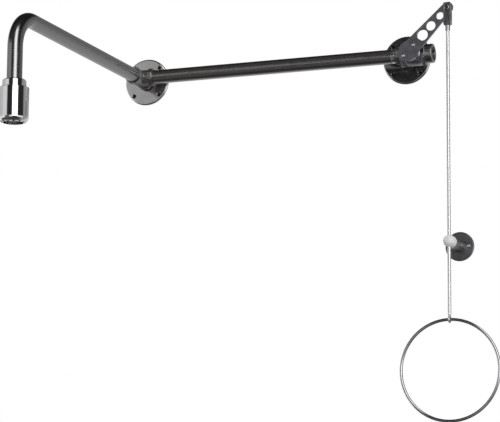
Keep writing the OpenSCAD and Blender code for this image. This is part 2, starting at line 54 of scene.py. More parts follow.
# --- Camera -------------------------------------------------------------------------------------
# A long lens, a little right of the valve and well below it, looking up at the pipework.
camera_place = (1.4248, -4.6273, -1.1960)
camera_yaw, camera_pitch, camera_roll = 21.471, 8.437, 0.416
camera_data = bpy.data.cameras.new("camera")
camera_data.lens = 151.16
camera_data.shift_y = 0.10
camera_data.clip_end = 100.0
camera = bpy.data.objects.new("camera", camera_data)
camera.location = camera_place
camera.rotation_mode = "QUATERNION"
ahead = Vector((-math.sin(math.radians(camera_yaw)) * math.cos(math.radians(camera_pitch)),
                math.cos(math.radians(camera_yaw)) * math.cos(math.radians(camera_pitch)),
                math.sin(math.radians(camera_pitch))))
tilt = Quaternion((0, 0, 1), math.radians(camera_roll))
camera.rotation_quaternion = ahead.to_track_quat("-Z", "Y") @ tilt
scene.collection.objects.link(camera)
scene.camera = camera


# --- Studio -------------------------------------------------------------------------------------
# A white backdrop and, for the metal to mirror, a dark room with a few large soft panels.
# A pale floor lies 2.1 m under the shower head.
def linear(code):
    """The linear colour of an sRGB hex code such as "#8a8b8d"."""
    part = [int(code[i:i + 2], 16) / 255 for i in (1, 3, 5)]
    return tuple(c / 12.92 if c <= 0.04045 else ((c + 0.055) / 1.055) ** 2.4 for c in part) + (1.0,)


def add(tree, kind, links=None, inputs=None, **properties):
    """Adds a node: properties go on the node, inputs are constants by socket, and links are outputs by socket."""
    node = tree.nodes.new(kind)
    for name, value in properties.items():
        setattr(node, name, value)
    for socket, value in (inputs or {}).items():
        node.inputs[socket].default_value = value
    for socket, output in (links or {}).items():
        tree.links.new(output, node.inputs[socket])
    return node


# Each panel: azimuth from and to (0 is straight out from the wall, 90 is towards the inlet),
# elevation from and to, softness of its edges in degrees, and its brightness
panels = [
    (18, 56, -6, 62, 4, 4.2),           # tall soft box on the inlet side
    (-125, -25, 3, 22, 5, 0.52),        # long low panel across the room, in three that overlap
    (-95, -25, 3, 22, 5, 0.16),
    (-62, -25, 3, 22, 5, 0.22),
    (106, 250, -60, 33, 6, 0.36),       # the wall behind the object, brighter low down
    (145, 215, -45, 8, 8, 0.36),
    (-125, -42, -28, 5, 4, 1.0),        # low panels that upright pieces mirror near their lower ends
    (-5, 18, -30, 5, 4, 1.0),
    (56, 106, -30, 5, 4, 1.0),
    (-30, -8, -4, 1, 2.5, 0.8),         # slit that the cross pipe mirrors as its thin highlight
    (-70, -5, 26, 90, 8, 0.05),         # faint fill above and below the slit
    (-60, -8, -56, -8, 8, 0.07),
    (-180, 180, -100, -22, 8, 0.03),    # faint glow of the floor, all round
]
room_light = 0.03
world = bpy.data.worlds.new("studio")
scene.world = world
world.use_nodes = True
tree = world.node_tree
tree.nodes.clear()
direction = add(tree, "ShaderNodeTexCoord").outputs["Generated"]
across, depth, height = add(tree, "ShaderNodeSeparateXYZ", {"Vector": direction}).outputs
degrees = 180 / math.pi
outwards = add(tree, "ShaderNodeMath", {0: depth}, {1: -1.0}, operation="MULTIPLY").outputs[0]
around = add(tree, "ShaderNodeMath", {0: across, 1: outwards}, operation="ARCTAN2").outputs[0]
azimuth = add(tree, "ShaderNodeMath", {0: around}, {1: degrees}, operation="MULTIPLY").outputs[0]
rise = add(tree, "ShaderNodeMath", {0: height}, operation="ARCSINE").outputs[0]
elevation = add(tree, "ShaderNodeMath", {0: rise}, {1: degrees}, operation="MULTIPLY").outputs[0]
mirrored = add(tree, "ShaderNodeMath", None, {0: room_light, 1: 0.0}, operation="ADD").outputs[0]
# A panel past 180 degrees is drawn twice, a whole turn apart, and one all round has no ends
for az_from, az_to, el_from, el_to, soft, bright in panels:
    spans = [(elevation, el_from, el_to)]
    if az_to - az_from < 360:
        spans += [(azimuth, az_from - turn, az_to - turn) for turn in ((0, 360) if az_to > 180 else (0,))]
    slabs = []
    for angle, low, high in spans:
        begin, end = [add(tree, "ShaderNodeMapRange", {"Value": angle},
                          {"From Min": edge - soft, "From Max": edge + soft},
                          interpolation_type="SMOOTHSTEP").outputs["Result"] for edge in (low, high)]
        slabs.append(add(tree, "ShaderNodeMath", {0: begin, 1: end}, operation="SUBTRACT").outputs[0])
    band, *arcs = slabs
    if len(arcs) == 2:
        arcs = [add(tree, "ShaderNodeMath", {0: arcs[0], 1: arcs[1]}, operation="MAXIMUM").outputs[0]]
    if arcs:
        band = add(tree, "ShaderNodeMath", {0: band, 1: arcs[0]}, operation="MULTIPLY").outputs[0]
    mirrored = add(tree, "ShaderNodeMath", {0: band, 2: mirrored}, {1: bright}, operation="MULTIPLY_ADD").outputs[0]
# Matt pieces are lit evenly, a little more from above and from the inlet side
matt_light, from_above, from_inlet = 0.62, 0.28, 0.12
matt = add(tree, "ShaderNodeMath", {0: height}, {1: from_above, 2: matt_light}, operation="MULTIPLY_ADD").outputs[0]
matt = add(tree, "ShaderNodeMath", {0: across, 2: matt}, {1: from_inlet}, operation="MULTIPLY_ADD").outputs[0]
path = add(tree, "ShaderNodeLightPath").outputs
plain_white = (1.0, 1.0, 1.0, 1.0)
glossy = add(tree, "ShaderNodeBackground", {"Strength": mirrored}, {"Color": plain_white})
diffuse = add(tree, "ShaderNodeBackground", {"Strength": matt}, {"Color": plain_white})
backdrop = add(tree, "ShaderNodeBackground", None, {"Color": plain_white, "Strength": 1.0})
lit = add(tree, "ShaderNodeMixShader", {0: path["Is Diffuse Ray"], 1: glossy.outputs[0], 2: diffuse.outputs[0]})
lit = add(tree, "ShaderNodeMixShader", {0: path["Is Camera Ray"], 1: lit.outputs[0], 2: backdrop.outputs[0]})
add(tree, "ShaderNodeOutputWorld", {"Surface": lit.outputs[0]})

# The floor is one disc, flat at its height, seen by the camera only
floor_drop, floor_radius, floor_sides = 2.1, 30.0, 96
turn = np.linspace(0, 2 * np.pi, floor_sides, endpoint=False)
rim = np.stack([floor_radius * np.cos(turn), floor_radius * np.sin(turn),
                np.full(floor_sides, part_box("head_body")[0].z - floor_drop)], 1)
floor_mesh = bpy.data.meshes.new("floor")
floor_mesh.from_pydata(rim.tolist(), [], [list(range(floor_sides))])
floor = bpy.data.objects.new("floor", floor_mesh)
scene.collection.objects.link(floor)
# Pale floor paint: an even light grey with no shadow
paint = bpy.data.materials.new("pale_floor_paint")
paint.use_nodes = True
tree = paint.node_tree
tree.nodes.clear()
pale = add(tree, "ShaderNodeEmission", None, {"Color": linear("#f2f2f1"), "Strength": 1.0})
add(tree, "ShaderNodeOutputMaterial", {"Surface": pale.outputs[0]})
floor_mesh.materials.append(paint)
floor.visible_glossy = False
floor.visible_diffuse = False


# --- Wall flanges -------------------------------------------------------------------------------
# Two turned discs of 1.4404 stainless, 115 x 8 mm, welded behind the run, with four screw holes.
# The left one is ground bright, and the right one is left darker from the lathe.
def steel(name, colour, roughness, spread, grain_mm, streak_mm, relief_mm, lay, centre=(0, 0, 0), mottle=0.10):
    """Stainless steel, ground, turned or cast.

    lay is the way its marks run: "x", "y" or "z" along that axis, "round x", "round y" or "round z"
    for rings round the line through centre, and "grain" for none. A ring's coordinates are its
    distance from that line and its place along it, so that rings have no seam. Marks are grain_mm
    apart and streak_mm long. Real grit lines, about 0.05 mm apart, are too fine to show, so they are
    drawn coarser. Clouds of 16 mm under them vary the tone and the roughness.
    """
    metal = bpy.data.materials.new(name)
    metal.use_nodes = True
    tree = metal.node_tree
    tree.nodes.clear()
    place = add(tree, "ShaderNodeTexCoord").outputs["Object"]
    local = add(tree, "ShaderNodeMapping", {"Vector": place},
                {"Location": tuple(-c for c in centre)}).outputs[0]
    if lay.startswith("round"):
        parts = add(tree, "ShaderNodeSeparateXYZ", {"Vector": local}).outputs
        axis = "xyz".index(lay[-1])
        a, b = [parts[i] for i in range(3) if i != axis]
        square = add(tree, "ShaderNodeMath", {0: a, 1: a}, operation="MULTIPLY").outputs[0]
        square = add(tree, "ShaderNodeMath", {0: b, 1: b, 2: square}, operation="MULTIPLY_ADD").outputs[0]
        away = add(tree, "ShaderNodeMath", {0: square}, operation="SQRT").outputs[0]
        local = add(tree, "ShaderNodeCombineXYZ", {"X": away, "Y": parts[axis]}).outputs[0]
        steps = (grain_mm, grain_mm, grain_mm)
    else:
        steps = tuple(streak_mm if axis == lay else grain_mm for axis in "xyz")
    marks = add(tree, "ShaderNodeMapping", {"Vector": local},
                {"Scale": tuple(1 / (s * MM) for s in steps)}).outputs[0]
    marks = add(tree, "ShaderNodeTexNoise", {"Vector": marks},
                {"Scale": 1.0, "Detail": 3.0, "Roughness": 0.6}).outputs[0]
    cloud_mm, cloud_share = 16, 0.45
    clouds = add(tree, "ShaderNodeTexNoise", {"Vector": place},
                 {"Scale": 1 / (cloud_mm * MM), "Detail": 3.0, "Roughness": 0.55}).outputs[0]
    both = add(tree, "ShaderNodeMath", {0: clouds}, {1: cloud_share}, operation="MULTIPLY").outputs[0]
    both = add(tree, "ShaderNodeMath", {0: marks, 2: both}, {1: 1 - cloud_share}, operation="MULTIPLY_ADD").outputs[0]
    tone = add(tree, "ShaderNodeValToRGB", {"Fac": both})
    for element, position, shade in zip(tone.color_ramp.elements, (0.36, 0.64), (1 - mottle, 1 + mottle)):
        element.position = position
        element.color = tuple(min(1.0, c * shade) for c in linear(colour)[:3]) + (1.0,)
    rough = add(tree, "ShaderNodeMapRange", {"Value": both},
                {"From Min": 0.32, "From Max": 0.68, "To Min": roughness - spread, "To Max": roughness + spread})
    bump = add(tree, "ShaderNodeBump", {"Height": marks}, {"Strength": 1.0, "Distance": relief_mm * MM})
    surface = add(tree, "ShaderNodeBsdfPrincipled",
                  {"Base Color": tone.outputs[0], "Roughness": rough.outputs[0], "Normal": bump.outputs[0]},
                  {"Metallic": 1.0})
    add(tree, "ShaderNodeOutputMaterial", {"Surface": surface.outputs[0]})
    return metal


def soften(corners, radius, steps=4):
    """Replaces each corner of a closed outline by an arc of that radius, or of what its sides leave room for.

    A point just outside each end of an arc keeps the shading of the flat beside it flat. A corner that
    is nearly straight, or on the axis, stays.
    """
    straight, most_of_side, outside = math.radians(86), 0.45, 1.1
    corners = np.asarray(corners, float)
    out = []
    for i, here in enumerate(corners):
        back, fore = corners[i - 1] - here, corners[(i + 1) % len(corners)] - here
        length_back, length_fore = np.linalg.norm(back), np.linalg.norm(fore)
        back, fore = back / length_back, fore / length_fore
        half = math.acos(np.clip(back @ fore, -1, 1)) / 2
        if half > straight or here[0] == 0:
            out.append(here)
            continue
        reach = min(radius / math.tan(half), most_of_side * length_back, most_of_side * length_fore)
        bend = reach * math.tan(half)
        centre = here + (back + fore) / np.linalg.norm(back + fore) * bend / math.sin(half)
        first, last = here + back * reach - centre, here + fore * reach - centre
        sweep = math.acos(np.clip(first @ last / (bend * bend), -1, 1))
        t = np.linspace(0, 1, steps + 1)[:, None]
        out.append(here + back * reach * outside)
        out.extend(centre + (np.sin((1 - t) * sweep) * first + np.sin(t * sweep) * last) / math.sin(sweep))
        out.append(here + fore * reach * outside)
    return np.array(out)


def shell(name, *grids, smooth_angle=35):
    """Joins grids of points, each rows by columns by xyz and closed both ways, into one object.

    Each cell of a grid is a quad. Points that fall together, as at a pole, become one, and the faces
    are turned outwards.
    """
    points, faces, start = [], [], 0
    for grid in grids:
        rows, columns = grid.shape[:2]
        r, c = [v.ravel() for v in np.meshgrid(np.arange(rows), np.arange(columns), indexing="ij")]
        r2, c2 = (r + 1) % rows, (c + 1) % columns
        points.append(grid.reshape(-1, 3))
        faces.append(start + np.stack([r * columns + c, r2 * columns + c, r2 * columns + c2, r * columns + c2], 1))
        start += rows * columns
    mesh = bpy.data.meshes.new(name)
    mesh.from_pydata(np.concatenate(points).tolist(), [], np.concatenate(faces).tolist())
    return tidy(name, mesh, smooth_angle)


def tidy(name, mesh, smooth_angle):
    """Makes an object of a mesh: doubles merged, faces outwards, smooth but for edges past an angle."""
    work = bmesh.new()
    work.from_mesh(mesh)
    bmesh.ops.remove_doubles(work, verts=work.verts, dist=2e-6)
    bmesh.ops.dissolve_degenerate(work, edges=work.edges, dist=1e-7)
    bmesh.ops.recalc_face_normals(work, faces=work.faces)
    work.to_mesh(mesh)
    work.free()
    mesh.shade_smooth()
    mesh.set_sharp_from_angle(angle=math.radians(smooth_angle))
    piece = bpy.data.objects.new(name, mesh)
    scene.collection.objects.link(piece)
    return piece


def turning(outline, centre, axis, turns=128):
    """Grid of a solid of revolution.

    An outline point (r, h), in mm, at angle t is centre + r (cos t u + sin t v) + h axis, where u
    and v are square to the axis and to each other.
    """
    outline, axis = np.asarray(outline, float) * MM, np.array(axis, float)
    u = np.roll(axis, 1)
    v = np.cross(axis, u)
    t = np.linspace(0, 2 * np.pi, turns, endpoint=False)
    ring = np.cos(t)[:, None] * u + np.sin(t)[:, None] * v
    return np.array(centre) + outline[:, None, :1] * ring + outline[:, None, 1:] * axis


def place(piece, body, material, record_slot, *nodes):
    """Gives a new piece its body and material, and lets it stand for its CAD nodes. record_slot is not used."""
    piece.data.materials.clear()
    piece.data.materials.append(material)
    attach(piece, body)
    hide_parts(*nodes)


def cut(piece, tool):
    """Cuts a closed tool out of a piece, and takes the tool away."""
    modifier = piece.modifiers.new("cut", "BOOLEAN")
    modifier.object = tool
    modifier.solver = "EXACT"
    result = bpy.data.meshes.new_from_object(piece.evaluated_get(bpy.context.evaluated_depsgraph_get()))
    piece.modifiers.clear()
    piece.data = result
    bpy.data.objects.remove(tool)
    result.shade_smooth()
    result.set_sharp_from_angle(angle=math.radians(35))


def moulded(name, colour, roughness, spread, grain_mm, relief_mm, gloss=0.5):
    """Moulded plastic or rubber: an even colour with faint clouds, and the fine texture of its mould."""
    plastic = bpy.data.materials.new(name)
    plastic.use_nodes = True
    tree = plastic.node_tree
    tree.nodes.clear()
    place_at = add(tree, "ShaderNodeTexCoord").outputs["Object"]
    grain = add(tree, "ShaderNodeTexNoise", {"Vector": place_at},
                {"Scale": 1 / (grain_mm * MM), "Detail": 3.0, "Roughness": 0.6}).outputs[0]
    cloud_mm = 12
    clouds = add(tree, "ShaderNodeTexNoise", {"Vector": place_at},
                 {"Scale": 1 / (cloud_mm * MM), "Detail": 2.0}).outputs[0]
    tone = add(tree, "ShaderNodeValToRGB", {"Fac": clouds})
    for element, position, shade in zip(tone.color_ramp.elements, (0.35, 0.65), (0.95, 1.04)):
        element.position = position
        element.color = tuple(min(1.0, c * shade) for c in linear(colour)[:3]) + (1.0,)
    rough = add(tree, "ShaderNodeMapRange", {"Value": grain},
                {"From Min": 0.32, "From Max": 0.68, "To Min": roughness - spread, "To Max": roughness + spread})
    bump = add(tree, "ShaderNodeBump", {"Height": grain}, {"Strength": 1.0, "Distance": relief_mm * MM})
    surface = add(tree, "ShaderNodeBsdfPrincipled",
                  {"Base Color": tone.outputs[0], "Roughness": rough.outputs[0], "Normal": bump.outputs[0]},
                  {"Specular IOR Level": gloss})
    add(tree, "ShaderNodeOutputMaterial", {"Surface": surface.outputs[0]})
    return plastic


# The screw holes read dark because dark discs sit in the wall behind them, on the stage: painted shade,
# standing in for the shadowed wall seen through the holes. Moulded nylon, dark and matt as painted shade, so that the
# holes look deep
hole_shade_nylon = moulded("painted_hole_shade_nylon", "#2e2e30", 0.6, 0.05, 0.6, 0.010, 0.3)
shade_disc_r, shade_disc_back, shade_disc_front = 6.5, -3, -0.5
out_of_wall = (0, -1, 0)
flange_r, flange_t, flange_bevel, flange_bore = 57.5, 8, 2.5, 16.95
screw_hole_r, screw_circle_r, sink = 4.5, 47, 1.2
screw_at = np.radians([45, 135, 225, 315])
for side, finish, tone, gloss, record_slot in (
        ("left", "ground", "#d6d6d8", 0.21, "brushed_stainless"),
        ("right", "dark", "#a9a8ab", 0.13, "dark_stainless")):
    node = f"wall_flange_{side}"
    low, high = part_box(node)
    middle = ((low.x + high.x) / 2, high.y, (low.z + high.z) / 2)
    hole_middles = [(middle[0] + screw_circle_r * MM * math.cos(a), middle[1], screw_circle_r * MM * math.sin(a))
                    for a in screw_at]
    piece = shell(f"flange_disc_{side}", turning(soften([
        (flange_bore, 0), (flange_r, 0), (flange_r, flange_t - flange_bevel),
        (flange_r - flange_bevel, flange_t), (flange_bore, flange_t)], 2.2), middle, out_of_wall, 192))
    cut(piece, shell("drills", *[turning([
        (0, -1), (screw_hole_r, -1), (screw_hole_r, flange_t - sink),
        (screw_hole_r + sink + 1, flange_t + 1), (0, flange_t + 1)], hole, out_of_wall, 48)
        for hole in hole_middles]))
    # Turned stainless: faint rings round the middle over a clear, slightly soft mirror
    turned_face = steel(f"{finish}_turned_stainless", tone, gloss, 0.05, 0.7, 0.7, 0.003, "round y", middle)
    place(piece, "pipework", turned_face, record_slot, node)
    # Dark discs behind the screw holes: painted shade, seen through them
    shade_disc = shell(f"hole_shade_discs_{side}", *[turning([
        (0, shade_disc_back), (shade_disc_r, shade_disc_back), (shade_disc_r, shade_disc_front), (0, shade_disc_front)],
        hole, out_of_wall, 32) for hole in hole_middles])
    shade_disc.data.materials.append(hole_shade_nylon)


# --- Tee and blind stub -------------------------------------------------------------------------
# The left fitting is an investment-cast tee with eight-sided bands at its three threads, tumbled to
# a fine grain. Behind it a short stub, closed at the wall, takes the load.
def edged_copy(name, node, bevel_mm, smooth_angle=30):
    """A machined piece: the CAD node's copy with its flats joined up and its edges broken by bevel_mm."""
    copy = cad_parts[node].data.copy()
    piece = tidy(name, copy, smooth_angle)
    work = bmesh.new()
    work.from_mesh(copy)
    bmesh.ops.dissolve_limit(work, angle_limit=math.radians(0.8), verts=work.verts, edges=work.edges)
    work.to_mesh(copy)
    work.free()
    edge = piece.modifiers.new("edges", "BEVEL")
    edge.width = bevel_mm * MM
    edge.segments = 3
    edge.limit_method = "ANGLE"
    edge.angle_limit = math.radians(smooth_angle)
    edge.harden_normals = True
    return piece


# Tumbled casting: a soft, cloudy grey with a fine grain and no clear reflections
cast_steel = steel("tumbled_cast_stainless", "#918e8e", 0.44, 0.07, 0.9, 0.9, 0.008, "grain", mottle=0.10)
place(edged_copy("tee_casting", "tee", 0.8), "pipework", cast_steel, "brushed_stainless", "tee")

tube_r, tube_bore, stub_floor = 16.85, 14.25, 6
stub_low, stub_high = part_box("blind_stub_left")
stub_middle = ((stub_low.x + stub_high.x) / 2, stub_high.y, 0)
stub_len = (stub_high.y - stub_low.y) / MM
# Ground tube: fine lines along its length, which draw the room out into soft bands
ground_along_y = steel("ground_stainless_tube_out", "#807f7f", 0.24, 0.05, 0.6, 45, 0.004, "y", mottle=0.06)
piece = shell("blind_stub_tube", turning(soften([
    (0, 0), (tube_r, 0), (tube_r, stub_len), (tube_bore, stub_len), (tube_bore, stub_floor), (0, stub_floor)], 0.4),
    stub_middle, out_of_wall))
place(piece, "pipework", ground_along_y, "brushed_stainless", "blind_stub_left")


# --- Shower arm ---------------------------------------------------------------------------------
# One length of one-inch tube, ground along its run and bent cold: straight out from the tee, a
# quarter bend of 76 mm, and down into the head's collar.
def piping(path, flat, outer, inner=None):
    """Grid of a tube along a path in a plane, in metres: path + r (cos t n + sin t b).

    n is the plane's normal, flat, and b is n across the path's tangent. With an inner radius, the
    rows run out along the outside and back along the bore; without one, the path is a closed loop.
    """
    path, flat = np.asarray(path, float), np.array(flat, float)
    tangent = np.roll(path, -1, 0) - np.roll(path, 1, 0) if inner is None else np.gradient(path, axis=0)
    tangent /= np.linalg.norm(tangent, axis=1, keepdims=True)
    t = np.linspace(0, 2 * np.pi, 64, endpoint=False)
    spokes = np.cos(t)[:, None] * flat + np.sin(t)[:, None] * np.cross(flat, tangent)[:, None, :]
    outside = path[:, None, :] + outer * MM * spokes
    if inner is None:
        return outside
    return np.concatenate([outside, (path[:, None, :] + inner * MM * spokes)[::-1]])


arm_low, arm_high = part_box("shower_arm")
arm_x = (arm_low.x + arm_high.x) / 2
head_y = arm_low.y + tube_r * MM
bend_r = 76 * MM
straight = np.linspace(arm_high.y, head_y + bend_r, 31)[:-1]
bend = np.linspace(0, np.pi / 2, 40)
down = np.linspace(-bend_r, arm_low.z, 11)[1:]
arm_y = np.concatenate([straight, head_y + bend_r - bend_r * np.sin(bend), np.full(len(down), head_y)])
arm_z = np.concatenate([np.zeros(len(straight)), bend_r * np.cos(bend) - bend_r, down])
arm_path = np.stack([np.full(len(arm_y), arm_x), arm_y, arm_z], 1)
piece = shell("shower_arm_tube", piping(arm_path, (1, 0, 0), tube_r, tube_bore))
place(piece, "pipework", ground_along_y, "brushed_stainless", "shower_arm")


# --- Shower head --------------------------------------------------------------------------------
# A collar on the arm's thread and a turned cup 65 mm across under it, both polished. The cup's lower
# edge is rounded in to a mouth with twelve notches, and the spray plate sits just inside.
head_axis = (arm_x, head_y)
# Polished round its axis: a sharp mirror, with the room in black and white bands
polished = steel("polished_stainless_round_z", "#d0d0d2", 0.07, 0.025, 0.7, 0.7, 0.0015, "round z",
                 (arm_x, head_y, 0), mottle=0.05)
collar_low, collar_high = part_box("head_collar")
cup_low, cup_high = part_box("head_body")
spigot = (collar_low.z - cup_high.z) / MM
collar_h = (collar_high.z - cup_high.z) / MM
collar_r, collar_bevel, collar_bore, spigot_r, ledge = 26, 2, 16.95, 22, 1.7
up = (0, 0, 1)
piece = shell("collar_turning", turning(soften([
    (collar_bore, collar_h), (collar_r - collar_bevel, collar_h), (collar_r, collar_h - collar_bevel),
    (collar_r, 0), (spigot_r, 0), (spigot_r, spigot), (tube_bore, spigot), (tube_bore, ledge),
    (collar_bore, ledge)], 0.4), head_axis + (cup_high.z,), up))
place(piece, "pipework", polished, "polished_stainless", "head_collar")

cup_r, cup_bore, cup_thread, cup_edge, mouth_r, cup_roof, mouth_h = 32.5, 28.5, 22.1, 11, 21.5, 12, 8.5
cup_bevel, flat_hold = 1, 0.3
cup_h = (cup_high.z - cup_low.z) / MM
lip = np.linspace(0, np.pi / 2, 25)
piece = shell("head_cup", turning(np.vstack([
    [(cup_thread, cup_h), (cup_r - cup_bevel - flat_hold, cup_h), (cup_r - cup_bevel, cup_h),
     (cup_r - 0.3, cup_h - 0.3), (cup_r, cup_h - cup_bevel), (cup_r, cup_h - cup_bevel - flat_hold),
     (cup_r, cup_edge + 0.5)],
    np.stack([mouth_r + cup_edge * np.cos(lip), cup_edge - cup_edge * np.sin(lip)], 1),
    [(mouth_r, 0.3), (mouth_r, mouth_h), (cup_bore, mouth_h), (cup_bore, cup_h - cup_roof),
     (cup_thread, cup_h - cup_roof)]]),
    head_axis + (cup_low.z,), up, 192))
notch_w, notch_h, notches = 4.5, 3.5, 12
cutter = bmesh.new()
for i in range(notches):
    a = 2 * math.pi * i / notches
    box = bmesh.ops.create_cube(cutter, size=1.0)["verts"]
    bmesh.ops.scale(cutter, verts=box, vec=(8 * MM, notch_w * MM, 2 * notch_h * MM))
    bmesh.ops.translate(cutter, verts=box, vec=((mouth_r + 1) * MM, 0, 0))
    bmesh.ops.rotate(cutter, verts=box, cent=(0, 0, 0), matrix=Matrix.Rotation(a, 3, "Z"))
bmesh.ops.translate(cutter, verts=cutter.verts, vec=head_axis + (cup_low.z,))
notch_mesh = bpy.data.meshes.new("notches")
cutter.to_mesh(notch_mesh)
cutter.free()
cut(piece, bpy.data.objects.new("notches", notch_mesh))
place(piece, "pipework", polished, "polished_stainless", "head_body")


def keep(name, material):
    """Gives a CAD node that stays its finish."""
    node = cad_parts[name].data
    node.materials.clear()
    node.materials.append(material)


# The spray plate and its holding ring are turned, the flow regulator is moulded acetal, and a
# rubber ring seals the collar against the cup. Turned stainless: satin, with rings round the axis
turned_inside = steel("turned_stainless_round_head", "#b8b8ba", 0.22, 0.06, 0.7, 0.7, 0.004, "round z",
                      (arm_x, head_y, 0))
# Moulded acetal: milky white with a soft sheen. Moulded rubber: matt black
white_plastic = moulded("white_moulded_acetal", "#dadad8", 0.34, 0.05, 0.6, 0.0015)
rubber = moulded("black_moulded_rubber", "#2b2b2b", 0.6, 0.08, 0.5, 0.010, 0.3)
place(edged_copy("spray_disc", "spray_plate", 0.3), "pipework", turned_inside, "brushed_stainless", "spray_plate")
place(edged_copy("spray_disc_ring", "spray_plate_ring", 0.3), "pipework", turned_inside, "brushed_stainless",
      "spray_plate_ring")
keep("flow_regulator", white_plastic)
keep("head_seal", rubber)


# --- Cross pipe ---------------------------------------------------------------------------------
# The same one-inch tube from the tee to the valve, with its ground finish running along it. At its
# right end a polished band and the thread's run-out groove stand beside the support bracket.
pipe_low, pipe_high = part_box("cross_pipe")
run_y = (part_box("valve_end_cap")[0].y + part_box("valve_end_cap")[1].y) / 2
run_len = (pipe_high.x - pipe_low.x) / MM
groove_x = -12.7
groove_at = groove_x - pipe_low.x / MM
groove_end = (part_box("support_bracket")[0].x - pipe_low.x) / MM
along_run = (1, 0, 0)
band_len, band_lift, groove_depth = 7.3, 0.3, 1.2
piece = shell("cross_pipe_tube", turning(soften([
    (tube_bore, 0), (tube_r, 0), (tube_r, groove_at - band_len - 0.3), (tube_r + band_lift, groove_at - band_len),
    (tube_r + band_lift, groove_at - 0.3), (tube_r - groove_depth, groove_at),
    (tube_r - groove_depth, groove_end - 0.6), (tube_r, groove_end - 0.3), (tube_r, run_len),
    (tube_bore, run_len)], 0.2), (pipe_low.x, run_y, 0), along_run))
# The same ground tube, which runs across and is left darker: deep grey, with one thin highlight along it
ground_along_x = steel("ground_stainless_tube_across", "#a19e9d", 0.24, 0.05, 0.6, 45, 0.003, "x", mottle=0.07)
place(piece, "pipework", ground_along_x, "dark_stainless", "cross_pipe")
# Polished band: a bright, sharp glint beside the dark tube
polished_band = steel("polished_stainless_band", "#e2e2e3", 0.10, 0.03, 0.6, 0.6, 0.001, "round x",
                      (0, run_y, 0), mottle=0.04)
piece.data.materials.append(polished_band)
middles = np.empty(len(piece.data.polygons) * 3)
piece.data.polygons.foreach_get("center", middles)
middles = (middles.reshape(-1, 3)[:, 0] - pipe_low.x) / MM
banded = (middles > groove_at - band_len - 0.4) & (middles < groove_at - 0.1)
piece.data.polygons.foreach_set("material_index", banded.astype(np.int32))


# --- Support bracket and right stub -------------------------------------------------------------
# A cast sleeve with eight sides holds the cross pipe, and its neck takes the solid stub from the
# right flange.
place(edged_copy("bracket_casting", "support_bracket", 0.7), "pipework", cast_steel, "brushed_stainless",
      "support_bracket")
stub_low, stub_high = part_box("stub_right")
stub_len = (stub_high.y - stub_low.y) / MM
piece = shell("right_stub_bar", turning(soften([(0, 0), (tube_r, 0), (tube_r, stub_len), (0, stub_len)], 0.5),
                                        ((stub_low.x + stub_high.x) / 2, stub_high.y, 0), out_of_wall))
place(piece, "pipework", ground_along_y, "brushed_stainless", "stub_right")


# --- Ball valve ---------------------------------------------------------------------------------
# A cast two-piece body with hexagons at both ends, tumbled dark, and the turned inlet end screwed
# into it over a PTFE gasket. The ball turns between two PTFE seats on a stem with a gland nut.
# Dark casting: deep grey and cloudy, with only a dull shine on its edges
dark_cast = steel("dark_cast_stainless", "#9b999d", 0.42, 0.07, 0.9, 0.9, 0.008, "grain", mottle=0.10)
place(edged_copy("valve_casting", "valve_body", 0.8), "pipework", dark_cast, "dark_stainless", "valve_body")
# Turned inlet end: satin rings round the run
inlet_turned = steel("turned_stainless_round_run", "#8f8e90", 0.30, 0.06, 0.7, 0.7, 0.004, "round x", (0, run_y, 0))
place(edged_copy("inlet_end", "valve_end_cap", 0.6), "pipework", inlet_turned, "brushed_stainless", "valve_end_cap")
stem_low, stem_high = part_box("valve_stem")
stem_x = (stem_low.x + stem_high.x) / 2
# Turned stem and nut: brighter rings round the stem
turned_stem = steel("turned_stainless_round_stem", "#c0c0c2", 0.18, 0.05, 0.6, 0.6, 0.003, "round y",
                    (stem_x, 0, 0))
place(edged_copy("gland_hex", "gland_nut", 0.5), "pipework", turned_stem, "brushed_stainless", "gland_nut")
place(edged_copy("stem_turning", "valve_stem", 0.3), "lever", turned_stem, "brushed_stainless", "valve_stem")
# Polished ball: a clear mirror. Skived PTFE: waxy white, with no sharp shine
polished_ball = steel("polished_stainless_ball", "#d6d6d8", 0.06, 0.02, 0.6, 0.6, 0.001, "grain", mottle=0.04)
keep("valve_ball", polished_ball)
ptfe = moulded("skived_ptfe", "#efece4", 0.45, 0.05, 0.8, 0.006)
for name in ("seat_outlet", "seat_inlet", "cap_gasket", "stem_packing"):
    keep(name, ptfe)


# --- Lever --------------------------------------------------------------------------------------
# A plate 6 mm thick, laser-cut with three lightening holes and blasted to a dark grain, on a round
# hub that stops against a pin after a quarter turn. Two bright screws and a set screw hold it.
# Blasted plate: dark and finely speckled, with no direction
blasted = steel("blasted_stainless_plate", "#85848a", 0.36, 0.07, 0.8, 0.8, 0.008, "grain", mottle=0.18)
place(edged_copy("lever_bar", "lever_plate", 0.7), "lever", blasted, "dark_stainless", "lever_plate")
place(edged_copy("hub_disc", "lever_hub", 0.5), "lever", dark_cast, "dark_stainless", "lever_hub")
# Polished screws: small bright glints
bright_screw = steel("polished_stainless_screw", "#e0e0e2", 0.11, 0.03, 0.6, 0.6, 0.001, "grain", mottle=0.05)
place(edged_copy("lever_bolts", "lever_screws", 0.3), "lever", bright_screw, "polished_stainless", "lever_screws")
keep("hub_set_screw", bright_screw)
keep("stop_pin", bright_screw)


# --- Fork, pin and clip -------------------------------------------------------------------------
# A square fork, milled from bar, hangs from the lever's tip on a turned pin that a snap ring holds.
# Milled bar: upright cutter marks over a patchy dark satin
milled = steel("milled_stainless_fork", "#98979b", 0.26, 0.07, 0.6, 25, 0.006, "z", mottle=0.14)
place(edged_copy("fork_bar", "clevis_fork", 0.6), "pull_rod", milled, "brushed_stainless", "clevis_fork")
pin_low, pin_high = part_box("clevis_pin")
pin_x, pin_z = (pin_low.x + pin_high.x) / 2, (pin_low.z + pin_high.z) / 2
pin_len = (pin_high.y - pin_low.y) / MM
